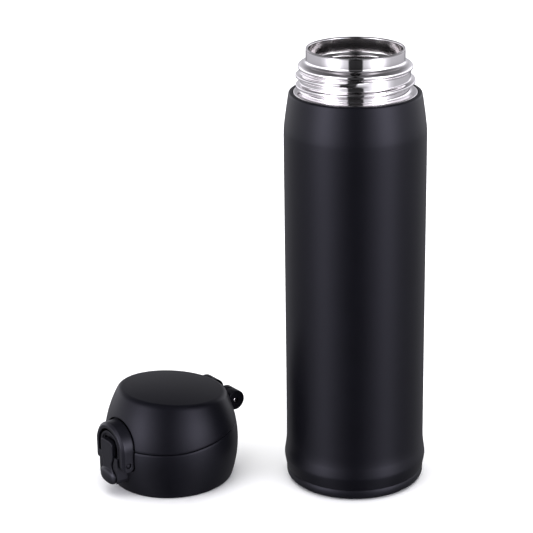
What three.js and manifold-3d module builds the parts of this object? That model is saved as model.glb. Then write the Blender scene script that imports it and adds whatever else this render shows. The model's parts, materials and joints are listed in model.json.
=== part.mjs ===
// A vacuum flask that stands open, with its screw-on flip lid standing beside it.
// Millimetres, +Z up. The origin is the centre of the flask's base, on the surface it stands on.
// The lid is modelled in a frame of its own: the latch faces -Y and the hinge is at +Y.
import * as THREE from "three";
import { mergeVertices } from "three/addons/utils/BufferGeometryUtils.js";
import Module from "manifold-3d";

const wasm = await Module();
wasm.setup();

// ---------------------------------------------------------------- driving sizes

const ROUND = 32; // facets round a large turned piece
const SMALL_ROUND = 14; // facets round a pin, bore or stud
const COIL_STEPS = 9; // steps in one turn of a spring
const COIL_SIDES = 6; // sides of a spring's wire
const GAP = 0.3; // between pieces that touch on the real object
const THROUGH = 80; // how far a cutting block runs past what it cuts
const RAD = Math.PI / 180;

// Flask body
const BODY_R = 33.5;
const PAINT_EDGE_Z = 194.2; // rim of the painted shell, where the bare neck begins
const STEEL_WALL = 0.8;
const SHOULDER_Z = PAINT_EDGE_Z - 15.9; // where the cone of the shoulder begins
const SHOULDER_TOP_Z = PAINT_EDGE_Z - 1.6;
const SHOULDER_TOP_R = BODY_R - 2.2;
const PAINT_EDGE_R = SHOULDER_TOP_R - 2.1;
const FLARE_R = BODY_R + 1.1; // widest point of the foot
const FLARE_Z = 11.4;
const FLARE_RISE = 12; // height over which the foot blends into the body
const SHELL_FOOT_Z = 5.6;
const SHELL_FOOT_R = BODY_R + 0.1;

// Neck
const NECK_HEIGHT = 20.4; // from the painted edge to the lip
const NECK_R = PAINT_EDGE_R - 3.6;
const MOUTH_R = NECK_R - 2.6;
const MOUTH_BAND = 5.6; // height of the plain band under the lip
const LIP_Z = PAINT_EDGE_Z + NECK_HEIGHT;
const LIP_HEIGHT = 0.6;
const BEAD_R = NECK_R + 1;
const BEAD_DROP = 8.5; // from the lip to the bead's crest
const BEAD_HALF = 1.5;
const THREAD_R = NECK_R + 2.1; // crest
const THREAD_PITCH = 4.8;
const THREAD_BASE = 3.2; // width at the root
const THREAD_CREST = 1.0; // width at the crest
const THREAD_DROP = 11.4; // from the lip to the thread's upper end
const THREAD_ROOM = 1.82; // from the thread's lower end to the painted edge
const THREAD_TURNS = (NECK_HEIGHT - THREAD_DROP - THREAD_ROOM) / THREAD_PITCH;
const THREAD_RUN_IN = 0.9; // turns of groove in the lid below the neck's thread
const THREAD_LEAD = 0.2; // turns of groove in the lid above the neck's thread
const THREAD_END_DEG = -75; // where the upper end is, about +Z
const THREAD_FIT = 0.35; // between neck thread and lid thread, on every side

// Inner vessel
const VESSEL_WALL = 0.8;
const VACUUM_GAP = 2.1; // between vessel and outer shell
const VESSEL_R = BODY_R - STEEL_WALL - VACUUM_GAP;
const MOUTH_BORE_R = MOUTH_R - STEEL_WALL - GAP - VESSEL_WALL;
const STEP_DROP = 8; // from the lip to the gasket's step
const STEP_WIDTH = 1.8;
const VESSEL_CORNER = 9;
const VESSEL_SHOULDER = 10; // height of the vessel's own shoulder

// Base
const BASE_PLATE_Z = SHELL_FOOT_Z + 1;
const VESSEL_FOOT_Z = BASE_PLATE_Z + 4.4;
const SEAL_HOLE_R = 1.4;
const GETTER_R = 6;
const GETTER_HEIGHT = 1.6;
const CAP_R = SHELL_FOOT_R;
const CAP_CONTACT_R = CAP_R - 3; // where the rounded edge of the cap meets the table
const CAP_WALL = 1.8;
const PAD_R = CAP_CONTACT_R - 4.6;
const PAD_HEIGHT = 1.4;

// The lid screwed home, with the flask's heights measured up from the lid's own foot
const SEATED_LIP_Z = NECK_HEIGHT - GAP;
const SEATED_STEP_Z = SEATED_LIP_Z - STEP_DROP;

// Lid: collar, thread insert, spout
const COLLAR_WALL = 2.2;
const COLLAR_LIP_R = THREAD_R + 0.5; // inside radius of the lip under the insert
const COLLAR_LIP_HEIGHT = 2.2;
const COLLAR_BORE_R = THREAD_R + 1.4;
const DECK_Z = SEATED_LIP_Z + 0.8; // underside of the deck
const DECK_THICK = 2;
const INSERT_R = THREAD_R - 0.75; // inside the ridges of the lid thread
const PLUG_R = MOUTH_BORE_R - 1.5; // the spout's lower part, inside the neck
const PLUG_CLEAR = 0.5; // between the plug and the step in the neck
const SPOUT_FOOT_Z = SEATED_STEP_Z + PLUG_CLEAR;
const GASKET_R = MOUTH_BORE_R - GAP;
const GASKET_Z = SPOUT_FOOT_Z + 0.9; // lower side of its groove
const GASKET_HEIGHT = 3.8;
const GASKET_SEAT_R = PLUG_R - 1.4;
const PLUG_BORE_R = GASKET_SEAT_R - 4.7;
const SPOUT_HOLE_R = PLUG_R - 3.4;
const SPOUT_BORE_R = SPOUT_HOLE_R - 6.7;
const SPOUT_LIP = 1.8; // wall at the drinking edge

// Lid: outer form
const SEAM_Z = DECK_Z + DECK_THICK + 1.4; // between collar and cover, at the latch
const SEAM_HALF_GAP = GAP / 2;
const SEAM_BEND_Y = -14; // where the seam begins to rise
const SEAM_BEND = 6; // length of the blend before and after the bend
const SEAM_SLOPE_DEG = 6.4;
const COVER_HEIGHT = 21.2;
const LID_HEIGHT = SEAM_Z + COVER_HEIGHT; // to the centre of the sloping top
const LID_TOP_SLOPE_DEG = 5.9; // down towards the hinge
const LID_FOOT_R = PAINT_EDGE_R + 0.2;
const LID_BELLY_R = LID_FOOT_R + 3.35;
const LID_BELLY_Z = SEAM_Z - 5.3;
const LID_CROWN_R = LID_FOOT_R - 3.5; // radius of the side at the height of the top's centre
const LID_STEPS = 8; // points up the curved side

// Lid: cover
const COVER_WALL = 1.9;
const SPOUT_TOP_Z = LID_HEIGHT - 9;
const LINER_R = LID_CROWN_R - 2.4;
const LINER_THICK = 1.4;
const LINER_RIB = 1.2; // wall of the round collar that holds the seal
const SEAL_R = SPOUT_BORE_R + SPOUT_LIP + 0.7;
const SEAL_THICK = 1.5;
const SEAL_PLUG_DEPTH = 0.9; // how far the seal enters the spout
const STRIKE_HALF_WIDTH = 3;
const STRIKE_HEIGHT = 3.4;
const STRIKE_THICK = 1;

// Hinge
const HINGE_Y = LID_BELLY_R - 2.85;
const HINGE_Z = LID_HEIGHT - 10.4;
const KNUCKLE_R = 5;
const HINGE_HALF_WIDTH = 13.5;
const EAR_WIDTH = 5.3;
const KNUCKLE_WIDTH = 3.9;
const HINGE_PIN_R = 1.1;
const HINGE_NOTCH = 0.4; // round the knuckles
const HINGE_SWEEP_R = KNUCKLE_R + 1.8; // cleared in the collar for the cover's back edge
const EAR_FOOT_Z = DECK_Z + 0.4;
const EAR_INNER_Y = HINGE_Y - 3;
const HINGE_SPRING_R = 2;
const HINGE_SPRING_WIRE = 0.7;
const HINGE_SPRING_PITCH = 1.34;

// Latch, measured outwards from the lid's axis, and up from the table
const RING_Z = SEAM_Z + 0.1; // centre of the round lock ring
const RING_R = 12.2;
const RING_BAND = 3;
const RING_BACK = LID_BELLY_R - 3.55;
const RING_DEPTH = 6.8;
const RING_PIVOT_Z = RING_Z - 6.9;
const STUD_R = 1;
const POCKET_CLEAR = 1; // round the ring
const POCKET_R = RING_R + POCKET_CLEAR;
const COLLAR_POCKET = RING_BACK - 0.4; // floor of the latch pocket in the collar
const COVER_POCKET = RING_BACK - 1.3; // floor of the latch pocket in the cover
const POCKET_BACKING = 1.9;
const PANEL_POCKET = COLLAR_BORE_R + 1.2; // floor of the shallow pocket behind the lever
const PANEL_POCKET_TOP = DECK_Z + GAP;
const PLATE_R = RING_R - RING_BAND - 1.2;
const PLATE_FRONT = PANEL_POCKET + GAP + 2.8;
const RIM_WIDTH = 1.2;
const RIM_FRONT = PLATE_FRONT + 2.2;
const CHEEK_TOP_Z = RING_Z - 3.8;
const CHEEK_FRONT = PLATE_FRONT + 3.3;

// Release lever. Its widths are shares of the panel's radius
const LEVER_BACK = PLATE_FRONT + 1.6;
const LEVER_FRONT = LEVER_BACK + 2.4;
const LEVER_TOP_Z = RING_Z + 4;
const LEVER_TOP_HALF = PLATE_R * 0.6125;
const LEVER_NECK_Z = RING_Z - 3.4; // where the sides begin to draw in
const LEVER_WAIST_HALF = PLATE_R * 0.425;
const LEVER_WAIST_Z = RING_Z - 9;
const TAB_HALF = PLATE_R * 0.8125;
const TAB_Z = RING_Z - 14.7;
const TAB_FOOT_Z = TAB_Z - 4.1;
const TAB_FRONT = LEVER_FRONT + 1.4;
const PLATE_FOOT_Z = TAB_FOOT_Z + 1; // above the foot of the lever, which overhangs it
const LEVER_PIVOT_OUT = LEVER_BACK - 0.2;
const LEVER_PIVOT_Z = RING_Z - 6.3;
const LEVER_PIN_R = 0.8;
const LEVER_HUB_R = 1.7;
const LEVER_GAP = 0.5; // between lever and cheeks
const NOSE_HALF = PLATE_R * 0.325;
const NOSE_Z = RING_Z + 1.5;
const NOSE_HEIGHT = 2;
const LEVER_SPRING_R = 1.3;
const LEVER_SPRING_WIRE = 0.45;
const LEVER_SPRING_TURNS = 3;
const LEVER_SPRING_LENGTH = 2.2;
const LEVER_SPRING_BORE = 2.1;
const LEVER_SPRING_BORE_DEPTH = 2.2;

// Where the lid stands, and how it is turned, beside the flask
const LID_X = -(FLARE_R + LID_BELLY_R + 23.15);
const LID_Y = -1.6;
const LID_TURN_DEG = -51;

// ---------------------------------------------------------------- materials

function finish(color, roughness, metalness) {
  return new THREE.MeshStandardMaterial({ color, roughness, metalness });
}

const PAINT = finish(0x1c1c21, 0.45, 0.3);
const STEEL = finish(0xc9c6c6, 0.18, 1);
const SATIN_STEEL = finish(0xb5b3b2, 0.35, 1);
const PLASTIC = finish(0x1d1d22, 0.5, 0);
const GLOSS_PLASTIC = finish(0x232329, 0.3, 0);
const SILICONE = finish(0xd6d8d8, 0.6, 0);
const DARK_RUBBER = finish(0x151517, 0.8, 0);
const BRAZE = finish(0x8d8a80, 0.5, 0.8);
const GETTER_METAL = finish(0x6f6d6b, 0.6, 0.9);

// ---------------------------------------------------------------- solids and meshes

// A closed geometry as a manifold solid.
function solidOf(geometry) {
  const bare = geometry.clone();
  bare.deleteAttribute("normal");
  bare.deleteAttribute("uv");
  const merged = mergeVertices(bare, 1e-4);
  const corners = merged.index.array;
  const kept = [];
  for (let i = 0; i < corners.length; i += 3) {
    const [a, b, c] = [corners[i], corners[i + 1], corners[i + 2]];
    if (a !== b && b !== c && c !== a) kept.push(a, b, c);
  }
  return new wasm.Manifold(
    new wasm.Mesh({
      numProp: 3,
      vertProperties: merged.attributes.position.array,
      triVerts: new Uint32Array(kept),
    }),
  );
}

// A named mesh of a manifold solid.
function piece(name, solid, material) {
  const mesh = solid.getMesh();
  const geometry = new THREE.BufferGeometry();
  const positions = new Float32Array(mesh.vertProperties);
  geometry.setAttribute("position", new THREE.BufferAttribute(positions, 3));
  geometry.setIndex(new THREE.BufferAttribute(new Uint32Array(mesh.triVerts), 1));
  geometry.computeVertexNormals();
  const named = new THREE.Mesh(geometry, material.clone());
  named.name = name;
  return named;
}

// Turns a closed outline of [radius, height] points about +Z.
// An outline that touches the axis starts and ends on it.
function turned(outline, facets = ROUND) {
  const points = outline.map(([r, z]) => new THREE.Vector2(r, z));
  const touchesAxis = outline[0][0] === 0;
  if (!touchesAxis) points.push(points[0].clone());
  if (THREE.ShapeUtils.area(points) < 0) points.reverse();
  const geometry = new THREE.LatheGeometry(points, facets);
  geometry.rotateX(Math.PI / 2);
  return solidOf(geometry);
}

function shapeOf(points) {
  return new THREE.Shape(points.map(([x, y]) => new THREE.Vector2(x, y)));
}

// An outline of (x, z) points made solid between two distances out on the latch side, at -Y.
function outwards(shape, near, far, curveSegments = 8) {
  const geometry = new THREE.ExtrudeGeometry(shape, {
    depth: far - near,
    bevelEnabled: false,
    curveSegments,
  });
  geometry.rotateX(Math.PI / 2);
  geometry.translate(0, -near, 0);
  return solidOf(geometry);
}

// An outline of (y, z) points made solid between two values of x.
function across(shape, from, to, curveSegments = 6) {
  const geometry = new THREE.ExtrudeGeometry(shape, {
    depth: to - from,
    bevelEnabled: false,
    curveSegments,
  });
  const turn = new THREE.Matrix4().makeBasis(
    new THREE.Vector3(0, 1, 0),
    new THREE.Vector3(0, 0, 1),
    new THREE.Vector3(1, 0, 0),
  );
  geometry.applyMatrix4(turn);
  geometry.translate(from, 0, 0);
  return solidOf(geometry);
}

// A round bar along X through (y, z).
function bar(radius, from, to, y, z, facets = SMALL_ROUND) {
  const geometry = new THREE.CylinderGeometry(radius, radius, to - from, facets);
  geometry.rotateZ(Math.PI / 2);
  geometry.translate((from + to) / 2, y, z);
  return solidOf(geometry);
}

function block([x0, x1], [y0, y1], [z0, z1]) {
  const geometry = new THREE.BoxGeometry(x1 - x0, y1 - y0, z1 - z0);
  geometry.translate((x0 + x1) / 2, (y0 + y1) / 2, (z0 + z1) / 2);
  return solidOf(geometry);
}

function discShape(radius, z = 0) {
  const shape = new THREE.Shape();
  shape.absarc(0, z, radius, 0, 2 * Math.PI, false);
  return shape;
}

// A coil spring about the local Z axis, from 0 to length.
class Coil extends THREE.Curve {
  constructor(radius, length, turns) {
    super();
    this.radius = radius;
    this.length = length;
    this.turns = turns;
  }
  getPoint(t, target = new THREE.Vector3()) {
    const angle = 2 * Math.PI * this.turns * t;
    const x = this.radius * Math.cos(angle);
    const y = this.radius * Math.sin(angle);
    return target.set(x, y, this.length * t);
  }
}

function spring(radius, wire, length, turns) {
  const section = new THREE.Shape();
  section.absarc(0, 0, wire / 2, 0, 2 * Math.PI, false);
  const path = new Coil(radius, length - wire, turns);
  const geometry = new THREE.ExtrudeGeometry(section, {
    extrudePath: path,
    steps: Math.round(COIL_STEPS * turns),
    curveSegments: COIL_SIDES / 2,
    bevelEnabled: false,
  });
  geometry.translate(0, 0, wire / 2);
  return geometry;
}

// A right-hand thread ridge: a bar of the ridge's section, bent into a helix that falls as it goes
// round clockwise. Its ends run out into the root.
function threadRidge(root, crest, grow, pitch, turns, topZ, startDeg) {
  const halfBase = THREAD_BASE / 2 + grow;
  const halfCrest = THREAD_CREST / 2 + grow;
  const buried = 0.5; // below the root, so that the ridge joins its wall
  const height = crest + grow - root;
  const section = shapeOf([
    [-buried, -halfBase],
    [height, -halfCrest],
    [height, halfCrest],
    [-buried, halfBase],
  ]);
  const steps = Math.round(ROUND * turns);
  const geometry = new THREE.ExtrudeGeometry(section, { depth: 1, steps, bevelEnabled: false });
  const position = geometry.getAttribute("position");
  const runOut = 0.09; // share of the length over which each end fades
  for (let i = 0; i < position.count; i++) {
    const t = position.getZ(i);
    const fade = Math.min(1, t / runOut, (1 - t) / runOut);
    const out = position.getX(i);
    const radius = root + (out > 0 ? out * fade : out);
    const angle = startDeg * RAD - 2 * Math.PI * turns * t;
    const z = topZ + position.getY(i) - pitch * turns * t;
    position.setXYZ(i, radius * Math.cos(angle), radius * Math.sin(angle), z);
  }
  return solidOf(geometry);
}

function quarterRound(cornerR, cornerZ, radius, fromDeg, toDeg, steps = 4) {
  const points = [];
  for (let i = 0; i <= steps; i++) {
    const angle = (fromDeg + ((toDeg - fromDeg) * i) / steps) * RAD;
    points.push([cornerR + radius * Math.cos(angle), cornerZ + radius * Math.sin(angle)]);
  }
  return points;
}

// ---------------------------------------------------------------- flask

// The painted outer shell: foot flare, straight body, coned shoulder, open at both ends.
function outerShell() {
  const outside = [
    [SHELL_FOOT_R, SHELL_FOOT_Z],
    [FLARE_R - 0.3, FLARE_Z - 2.4],
    [FLARE_R, FLARE_Z],
    [FLARE_R - 0.3, FLARE_Z + 2.4],
    [BODY_R + 0.25, FLARE_Z + FLARE_RISE / 2],
    [BODY_R, FLARE_Z + FLARE_RISE],
    [BODY_R, SHOULDER_Z - 5],
    [BODY_R - 0.2, SHOULDER_Z],
    [SHOULDER_TOP_R, SHOULDER_TOP_Z],
    [(SHOULDER_TOP_R + PAINT_EDGE_R) / 2 + 0.4, PAINT_EDGE_Z - 0.4],
    [PAINT_EDGE_R, PAINT_EDGE_Z],
  ];
  const inside = outside.slice(0, -2).map(([r, z]) => [r - STEEL_WALL, z]);
  inside.push([PAINT_EDGE_R, PAINT_EDGE_Z - STEEL_WALL]);
  return turned([...outside, ...inside.reverse()]);
}

// The bare steel neck: ledge, threaded wall, bead and the plain band below the lip.
function neckRing() {
  const ledgeR = PAINT_EDGE_R - GAP;
  const bandFoot = LIP_Z - LIP_HEIGHT - MOUTH_BAND;
  const beadZ = LIP_Z - BEAD_DROP;
  const top = LIP_Z - LIP_HEIGHT - GAP;
  const wall = turned([
    [ledgeR, PAINT_EDGE_Z - STEEL_WALL],
    [ledgeR, PAINT_EDGE_Z - 0.3],
    [ledgeR - 0.5, PAINT_EDGE_Z + 0.1],
    [NECK_R + 0.4, PAINT_EDGE_Z + 0.3],
    [NECK_R, PAINT_EDGE_Z + 0.9],
    [NECK_R, beadZ - BEAD_HALF],
    [BEAD_R - 0.15, beadZ - 0.5],
    [BEAD_R - 0.15, beadZ + 0.5],
    [BEAD_R - 1.4, beadZ + BEAD_HALF],
    [MOUTH_R + 0.3, bandFoot + 0.2],
    [MOUTH_R, bandFoot + 0.8],
    [MOUTH_R, top],
    [MOUTH_R - STEEL_WALL, top],
    [MOUTH_R - STEEL_WALL, bandFoot - 1.4],
    [NECK_R - STEEL_WALL, bandFoot - 2.8],
    [NECK_R - STEEL_WALL, PAINT_EDGE_Z - STEEL_WALL],
  ]);
  const topZ = LIP_Z - THREAD_DROP;
  return wall.add(
    threadRidge(NECK_R, THREAD_R, 0, THREAD_PITCH, THREAD_TURNS, topZ, THREAD_END_DEG),
  );
}

// The inner bottle: rolled lip, mouth, gasket step, shoulder, body and domed foot.
function innerVessel() {
  const mouthOut = MOUTH_BORE_R + VESSEL_WALL;
  const mouthIn = MOUTH_BORE_R;
  const stepZ = LIP_Z - STEP_DROP;
  const throatIn = mouthIn - STEP_WIDTH;
  const throatOut = throatIn + VESSEL_WALL;
  const shoulderTop = PAINT_EDGE_Z - 4;
  const shoulderFoot = shoulderTop - VESSEL_SHOULDER;
  const cornerR = VESSEL_R - VESSEL_CORNER;
  const cornerZ = VESSEL_FOOT_Z + VESSEL_CORNER;
  return turned([
    [0, VESSEL_FOOT_Z],
    ...quarterRound(cornerR, cornerZ, VESSEL_CORNER, -90, 0),
    [VESSEL_R, shoulderFoot],
    [VESSEL_R - 2.4, shoulderFoot + 5],
    [throatOut + 3, shoulderTop],
    [throatOut, shoulderTop + 3],
    [throatOut, stepZ - VESSEL_WALL],
    [mouthOut, stepZ],
    [mouthOut, LIP_Z - LIP_HEIGHT],
    [MOUTH_R, LIP_Z - LIP_HEIGHT],
    [MOUTH_R, LIP_Z - 0.2],
    [MOUTH_R - 0.4, LIP_Z],
    [mouthIn + 0.3, LIP_Z],
    [mouthIn, LIP_Z - 0.4],
    [mouthIn, stepZ + 0.6],
    [throatIn, stepZ],
    [throatIn, shoulderTop + 3],
    [throatIn + 3, shoulderTop - VESSEL_WALL],
    [VESSEL_R - 2.4 - VESSEL_WALL, shoulderFoot + 5 - VESSEL_WALL],
    [VESSEL_R - VESSEL_WALL, shoulderFoot - VESSEL_WALL],
    ...quarterRound(cornerR, cornerZ, VESSEL_CORNER - VESSEL_WALL, 0, -90),
    [0, VESSEL_FOOT_Z + VESSEL_WALL],
  ]);
}

// The dished steel plate that closes the outer shell, with the evacuation hole at its centre.
function basePlate() {
  const rim = BODY_R - STEEL_WALL - GAP;
  return turned([
    [SEAL_HOLE_R, BASE_PLATE_Z],
    [rim - 4, BASE_PLATE_Z],
    [rim - 1.5, BASE_PLATE_Z + 2],
    [rim - 1.5, BASE_PLATE_Z + 5],
    [rim - 0.7, BASE_PLATE_Z + 5],
    [rim - 0.7, BASE_PLATE_Z + 0.6],
    [rim - 1.6, BASE_PLATE_Z - STEEL_WALL],
    [SEAL_HOLE_R, BASE_PLATE_Z - STEEL_WALL],
  ]);
}

function sealBead() {
  const foot = BASE_PLATE_Z - STEEL_WALL - GAP;
  const crown = SEAL_HOLE_R + 1;
  return turned(
    [
      [0, foot - 0.9],
      [crown * 0.7, foot - 0.6],
      [crown, foot],
      [SEAL_HOLE_R - GAP, foot],
      [SEAL_HOLE_R - GAP, BASE_PLATE_Z],
      [0, BASE_PLATE_Z],
    ],
    SMALL_ROUND,
  );
}

function getter() {
  const top = VESSEL_FOOT_Z - GAP;
  const foot = top - GETTER_HEIGHT;
  return turned(
    [
      [0, foot],
      [GETTER_R - 0.4, foot],
      [GETTER_R, foot + 0.4],
      [GETTER_R, top],
      [0, top],
    ],
    SMALL_ROUND,
  );
}

// The moulded cap under the foot, with a round recess for the pad.
function baseCap() {
  const top = SHELL_FOOT_Z - GAP;
  const inner = CAP_R - CAP_WALL;
  const edge = CAP_R - CAP_CONTACT_R;
  const recessR = PAD_R + GAP;
  const recessTop = PAD_HEIGHT + GAP;
  const floorTop = recessTop + CAP_WALL;
  return turned([
    [0, recessTop],
    [recessR, recessTop],
    [recessR, 0],
    ...quarterRound(CAP_CONTACT_R, edge, edge, -90, -15),
    [CAP_R, top - 1],
    [CAP_R - 0.2, top],
    [inner, top],
    [inner, floorTop],
    [0, floorTop],
  ]);
}

function footPad() {
  return turned([
    [0, 0],
    [PAD_R - 0.4, 0],
    [PAD_R, 0.4],
    [PAD_R, PAD_HEIGHT],
    [0, PAD_HEIGHT],
  ]);
}

// ---------------------------------------------------------------- lid: shared outer form

// Radius of the lid's side at a height, before the slope of the top cuts it.
function lidRadius(z) {
  if (z < LID_BELLY_Z) {
    const below = (LID_BELLY_Z - z) / LID_BELLY_Z;
    return LID_BELLY_R - (LID_BELLY_R - LID_FOOT_R) * below * below;
  }
  const above = (z - LID_BELLY_Z) / (LID_HEIGHT - LID_BELLY_Z);
  return LID_BELLY_R - (LID_BELLY_R - LID_CROWN_R) * above * above;
}

// The barrel form of the lid between two heights, drawn in by a wall.
function lidForm(from, to, wall) {
  const side = [];
  for (let i = 0; i <= LID_STEPS; i++) {
    const z = from + ((to - from) * i) / LID_STEPS;
    side.push([lidRadius(z) - wall, z]);
  }
  return turned([[0, from], ...side, [0, to]]);
}

function seamZ(y) {
  return SEAM_Z + Math.max(0, y - SEAM_BEND_Y) * Math.tan(SEAM_SLOPE_DEG * RAD);
}

// Everything above or below the bent seam, as a block. The bend is a shallow curve.
function seamBlock(above) {
  const reach = LID_BELLY_R + 10;
  const shift = above ? SEAM_HALF_GAP : -SEAM_HALF_GAP;
  const far = above ? SEAM_Z + THROUGH : SEAM_Z - THROUGH;
  const blend = new THREE.QuadraticBezierCurve(
    new THREE.Vector2(SEAM_BEND_Y - SEAM_BEND, SEAM_Z + shift),
    new THREE.Vector2(SEAM_BEND_Y, SEAM_Z + shift),
    new THREE.Vector2(SEAM_BEND_Y + SEAM_BEND, seamZ(SEAM_BEND_Y + SEAM_BEND) + shift),
  );
  const line = [
    [-reach, SEAM_Z + shift],
    ...blend.getPoints(4).map((p) => [p.x, p.y]),
    [reach, seamZ(reach) + shift],
  ];
  return across(shapeOf([...line, [reach, far], [-reach, far]]), -reach, reach);
}

// Everything below the sloping top, lowered by a depth.
function belowTop(depth) {
  const reach = LID_BELLY_R + 10;
  const fall = reach * Math.tan(LID_TOP_SLOPE_DEG * RAD);
  const centre = LID_HEIGHT - depth;
  const outline = [
    [-reach, centre + fall],
    [reach, centre - fall],
    [reach, -10],
    [-reach, -10],
  ];
  return across(shapeOf(outline), -reach, reach);
}

// A full bar round the hinge's axis.
function hingeBar(radius, from, to, facets = 20) {
  return bar(radius, from, to, HINGE_Y, HINGE_Z, facets);
}

// ---------------------------------------------------------------- lid: latch outlines, in (x, z)

// The lever seen from the front: a rounded top, a waist and a wide thumb tab, grown all round.
function leverShape(grow) {
  const topHalf = LEVER_TOP_HALF + grow;
  const waist = LEVER_WAIST_HALF + grow;
  const tab = TAB_HALF + grow;
  const top = LEVER_TOP_Z + grow;
  const foot = TAB_FOOT_Z - grow;
  const corner = 1.6;
  const shape = new THREE.Shape();
  shape.moveTo(0, top);
  shape.lineTo(-topHalf + corner, top);
  shape.quadraticCurveTo(-topHalf, top, -topHalf, top - corner);
  shape.lineTo(-topHalf, LEVER_NECK_Z);
  shape.bezierCurveTo(-topHalf, LEVER_PIVOT_Z, -waist, LEVER_PIVOT_Z, -waist, LEVER_WAIST_Z);
  shape.bezierCurveTo(-waist, TAB_Z + 3.4, -tab, TAB_Z + 3, -tab, TAB_Z);
  shape.bezierCurveTo(-tab, foot + 1.4, -tab + 2.6, foot, 0, foot);
  shape.bezierCurveTo(tab - 2.6, foot, tab, foot + 1.4, tab, TAB_Z);
  shape.bezierCurveTo(tab, TAB_Z + 3, waist, TAB_Z + 3.4, waist, LEVER_WAIST_Z);
  shape.bezierCurveTo(waist, LEVER_PIVOT_Z, topHalf, LEVER_PIVOT_Z, topHalf, LEVER_NECK_Z);
  shape.lineTo(topHalf, top - corner);
  shape.quadraticCurveTo(topHalf, top, topHalf - corner, top);
  return shape;
}

// The pocket round the lock ring: a round head over two straight sides, down to the arms' ends.
function pocketShape() {
  const foot = RING_PIVOT_Z - RING_DEPTH / 2 - GAP - 0.2;
  const shape = new THREE.Shape();
  shape.moveTo(-POCKET_R, foot);
  shape.lineTo(POCKET_R, foot);
  shape.lineTo(POCKET_R, RING_Z);
  shape.absarc(0, RING_Z, POCKET_R, 0, Math.PI, false);
  return shape;
}

// The latch panel: a round head over a straight, round-cornered foot.
function panelShape(grow) {
  const half = PLATE_R + grow;
  const foot = PLATE_FOOT_Z - grow;
  const corner = 2.5;
  const shape = new THREE.Shape();
  shape.moveTo(-half + corner, foot);
  shape.lineTo(half - corner, foot);
  shape.quadraticCurveTo(half, foot, half, foot + corner);
  shape.lineTo(half, RING_Z);
  shape.absarc(0, RING_Z, half, 0, Math.PI, false);
  shape.lineTo(-half, foot + corner);
  shape.quadraticCurveTo(-half, foot, -half + corner, foot);
  return shape;
}

// ---------------------------------------------------------------- lid: collar and what it holds

// The ears of the hinge, which stand on the collar and reach up round the pin.
function hingeEar(side) {
  const outer = HINGE_HALF_WIDTH;
  const inner = HINGE_HALF_WIDTH - EAR_WIDTH;
  const [from, to] = side > 0 ? [inner, outer] : [-outer, -inner];
  const leg = block([from, to], [EAR_INNER_Y, THROUGH], [EAR_FOOT_Z, HINGE_Z]);
  const legInside = leg.intersect(lidForm(EAR_FOOT_Z - 1, HINGE_Z + 1, 0));
  return hingeBar(KNUCKLE_R, from, to).add(legInside);
}

function collarShell() {
  const deckTop = DECK_Z + DECK_THICK;
  const form = lidForm(0, HINGE_Z, 0).intersect(seamBlock(false));
  const under = turned([
    [0, -THROUGH],
    [COLLAR_LIP_R, -THROUGH],
    [COLLAR_LIP_R, COLLAR_LIP_HEIGHT],
    [COLLAR_BORE_R, COLLAR_LIP_HEIGHT],
    [COLLAR_BORE_R, DECK_Z],
    [0, DECK_Z],
  ]);
  const backing = block(
    [-POCKET_R - POCKET_BACKING, POCKET_R + POCKET_BACKING],
    [-THROUGH, -COLLAR_POCKET + POCKET_BACKING],
    [0, THROUGH],
  );
  const over = lidForm(deckTop, HINGE_Z + 2, COLLAR_WALL).subtract(backing);
  const spoutHole = turned([
    [0, 0],
    [SPOUT_HOLE_R, 0],
    [SPOUT_HOLE_R, THROUGH],
    [0, THROUGH],
  ]);
  const ringPocket = outwards(pocketShape(), COLLAR_POCKET, THROUGH);
  const kept = block(
    [-PLATE_R + 0.5, PLATE_R - 0.5],
    [-PANEL_POCKET, 0],
    [0, PANEL_POCKET_TOP],
  );
  const panelPocket = outwards(panelShape(GAP), PANEL_POCKET, THROUGH);
  const reach = HINGE_HALF_WIDTH + 1.5;
  return form
    .subtract(under)
    .subtract(over)
    .subtract(spoutHole)
    .subtract(ringPocket.subtract(kept))
    .subtract(panelPocket)
    .subtract(hingeBar(HINGE_SWEEP_R, -reach, reach))
    .add(hingeEar(-1))
    .add(hingeEar(1))
    .subtract(hingeBar(HINGE_PIN_R + GAP, -THROUGH, THROUGH, SMALL_ROUND));
}

// The threaded ring inside the collar. Its groove is the neck's ridge grown by the fit.
function threadInsert() {
  const foot = COLLAR_LIP_HEIGHT + GAP;
  const head = DECK_Z - GAP;
  const outer = COLLAR_BORE_R - GAP;
  const ring = turned([
    [INSERT_R, foot],
    [outer, foot],
    [outer, head],
    [INSERT_R, head],
  ]);
  const top = SEATED_LIP_Z - THREAD_DROP + THREAD_PITCH * THREAD_LEAD;
  const turns = THREAD_TURNS + THREAD_RUN_IN + THREAD_LEAD;
  const startDeg = THREAD_END_DEG + 360 * THREAD_LEAD;
  const groove = threadRidge(
    INSERT_R,
    THREAD_R,
    THREAD_FIT,
    THREAD_PITCH,
    turns,
    top,
    startDeg,
  );
  return ring.subtract(groove);
}

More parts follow.
